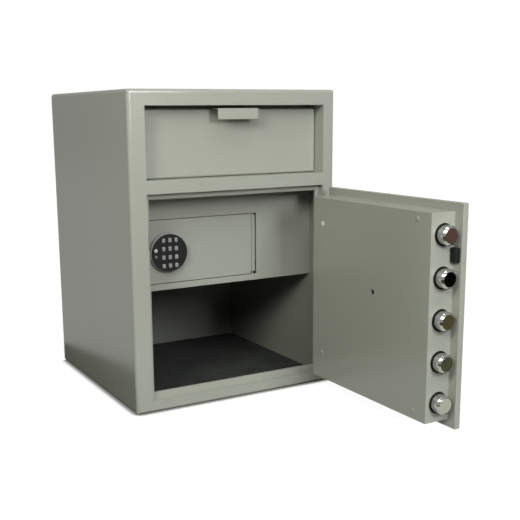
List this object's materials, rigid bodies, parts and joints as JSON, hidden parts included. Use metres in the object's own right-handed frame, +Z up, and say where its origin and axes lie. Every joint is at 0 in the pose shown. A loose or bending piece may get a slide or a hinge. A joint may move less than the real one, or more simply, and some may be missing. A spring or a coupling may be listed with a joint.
{
  "type": "drop safe with deposit drawer",
  "caption": "Steel drop safe: tilting deposit drawer over a side-hinged door with throw bolts, and a small keypad locker inside.",
  "frame": {"origin": "middle of the underside of the cabinet", "axes": "+X to the right seen from the front, +Y from the front to the back, +Z up; at rest the main door stands open at 90 degrees, towards -Y"},
  "size_m": [0.5265, 0.9615, 0.686],
  "materials": {
    "paint": "satin",
    "dark_paint": "satin",
    "steel": "machined",
    "chrome": "polished",
    "black_plastic": "satin",
    "silver_plastic": "satin",
    "key_plastic": "satin",
    "white_plastic": "gloss",
    "mat": "carpet"
  },
  "bodies": {
    "cabinet": {"outer_shell": "paint", "back_plate": "paint", "front_frame": "paint", "chute_floor": "dark_paint", "deposit_baffle": "dark_paint", "drawer_rod": "steel", "locker_shell": "dark_paint", "locker_face": "paint", "floor_mat": "mat", "bolt_keeper": "dark_paint", "frame_knuckle_upper": "paint", "frame_knuckle_lower": "paint", "hinge_pins": "steel"},
    "main_door": {"door_plate": "paint", "door_box": "paint", "back_cover": "paint", "cover_screws": "steel", "bolt_bushes": "black_plastic", "hinge_strap_upper": "paint", "hinge_strap_lower": "paint", "dog_bar": "paint", "door_buffer": "black_plastic", "dial_ring": "steel", "lock_case": "steel", "guide_screws": "steel"},
    "boltwork": {"bolt_carrier": "steel", "locking_bolt_1": "chrome", "locking_bolt_2": "chrome", "locking_bolt_3": "chrome", "locking_bolt_4": "chrome", "locking_bolt_5": "chrome", "drive_pin": "steel"},
    "door_handle": {"handle_lever": "chrome", "handle_spindle": "steel", "cam_disc": "steel"},
    "dial": {"dial_knob": "black_plastic", "dial_spindle": "steel"},
    "dial_lock_bolt": {"lock_bolt": "steel"},
    "deposit_drawer": {"drawer_panel": "paint", "drawer_pull": "paint", "drawer_scoop": "dark_paint"},
    "locker_door": {"locker_leaf": "paint", "locker_pins": "steel", "keypad_base": "silver_plastic", "keypad_housing": "black_plastic", "keypad_lights": "white_plastic", "locker_lock_case": "steel"},
    "locker_lock_bolt": {"locker_bolt": "steel"},
    "key_1": {"key_1": "key_plastic"},
    "key_2": {"key_2": "key_plastic"},
    "key_3": {"key_3": "key_plastic"},
    "key_4": {"key_4": "key_plastic"},
    "key_5": {"key_5": "key_plastic"},
    "key_6": {"key_6": "key_plastic"},
    "key_7": {"key_7": "key_plastic"},
    "key_8": {"key_8": "key_plastic"},
    "key_9": {"key_9": "key_plastic"},
    "key_star": {"key_star": "key_plastic"},
    "key_0": {"key_0": "key_plastic"},
    "key_hash": {"key_hash": "key_plastic"}
  },
  "joints": [
    {"name": "door_swing", "type": "hinge", "parent": "cabinet", "child": "main_door", "pos_m": [0.2425, -0.256, 0], "axis": [0, 0, 1], "range_deg": [-90, 85]},
    {"name": "handle_turn", "type": "hinge", "parent": "main_door", "child": "door_handle", "pos_m": [0.2325, -0.6015, 0.326], "axis": [-1, 0, 0], "range_deg": [0, 90]},
    {"name": "boltwork_slide", "type": "slide", "parent": "main_door", "child": "boltwork", "axis": [0, 1, 0], "range_m": [0, 0.015]},
    {"name": "dial_turn", "type": "hinge", "parent": "main_door", "child": "dial", "pos_m": [0.2325, -0.5195, 0.254], "axis": [-1, 0, 0], "continuous": true},
    {"name": "lock_bolt_slide", "type": "slide", "parent": "main_door", "child": "dial_lock_bolt", "axis": [0, 0, -1], "range_m": [-0.01, 0]},
    {"name": "drawer_tilt", "type": "hinge", "parent": "cabinet", "child": "deposit_drawer", "pos_m": [0, -0.209, 0.5055], "axis": [1, 0, 0], "range_deg": [0, 45]},
    {"name": "locker_door_swing", "type": "hinge", "parent": "cabinet", "child": "locker_door", "pos_m": [0.0905, -0.1513, 0.3345], "axis": [0, 0, 1], "range_deg": [0, 95]},
    {"name": "locker_bolt_slide", "type": "slide", "parent": "locker_door", "child": "locker_lock_bolt", "axis": [1, 0, 0], "range_m": [-0.014, 0]},
    {"name": "key_1_press", "type": "slide", "parent": "locker_door", "child": "key_1", "axis": [0, 1, 0], "range_m": [0, 0.0012], "stiffness_N_per_m": 700, "springref_m": -0.0006},
    {"name": "key_2_press", "type": "slide", "parent": "locker_door", "child": "key_2", "axis": [0, 1, 0], "range_m": [0, 0.0012], "stiffness_N_per_m": 700, "springref_m": -0.0006},
    {"name": "key_3_press", "type": "slide", "parent": "locker_door", "child": "key_3", "axis": [0, 1, 0], "range_m": [0, 0.0012], "stiffness_N_per_m": 700, "springref_m": -0.0006},
    {"name": "key_4_press", "type": "slide", "parent": "locker_door", "child": "key_4", "axis": [0, 1, 0], "range_m": [0, 0.0012], "stiffness_N_per_m": 700, "springref_m": -0.0006},
    {"name": "key_5_press", "type": "slide", "parent": "locker_door", "child": "key_5", "axis": [0, 1, 0], "range_m": [0, 0.0012], "stiffness_N_per_m": 700, "springref_m": -0.0006},
    {"name": "key_6_press", "type": "slide", "parent": "locker_door", "child": "key_6", "axis": [0, 1, 0], "range_m": [0, 0.0012], "stiffness_N_per_m": 700, "springref_m": -0.0006},
    {"name": "key_7_press", "type": "slide", "parent": "locker_door", "child": "key_7", "axis": [0, 1, 0], "range_m": [0, 0.0012], "stiffness_N_per_m": 700, "springref_m": -0.0006},
    {"name": "key_8_press", "type": "slide", "parent": "locker_door", "child": "key_8", "axis": [0, 1, 0], "range_m": [0, 0.0012], "stiffness_N_per_m": 700, "springref_m": -0.0006},
    {"name": "key_9_press", "type": "slide", "parent": "locker_door", "child": "key_9", "axis": [0, 1, 0], "range_m": [0, 0.0012], "stiffness_N_per_m": 700, "springref_m": -0.0006},
    {"name": "key_star_press", "type": "slide", "parent": "locker_door", "child": "key_star", "axis": [0, 1, 0], "range_m": [0, 0.0012], "stiffness_N_per_m": 700, "springref_m": -0.0006},
    {"name": "key_0_press", "type": "slide", "parent": "locker_door", "child": "key_0", "axis": [0, 1, 0], "range_m": [0, 0.0012], "stiffness_N_per_m": 700, "springref_m": -0.0006},
    {"name": "key_hash_press", "type": "slide", "parent": "locker_door", "child": "key_hash", "axis": [0, 1, 0], "range_m": [0, 0.0012], "stiffness_N_per_m": 700, "springref_m": -0.0006}
  ],
  "couplings": [
    {"joint": "boltwork_slide", "follows": "handle_turn", "m_per_rad": 0.0095493}
  ]
}
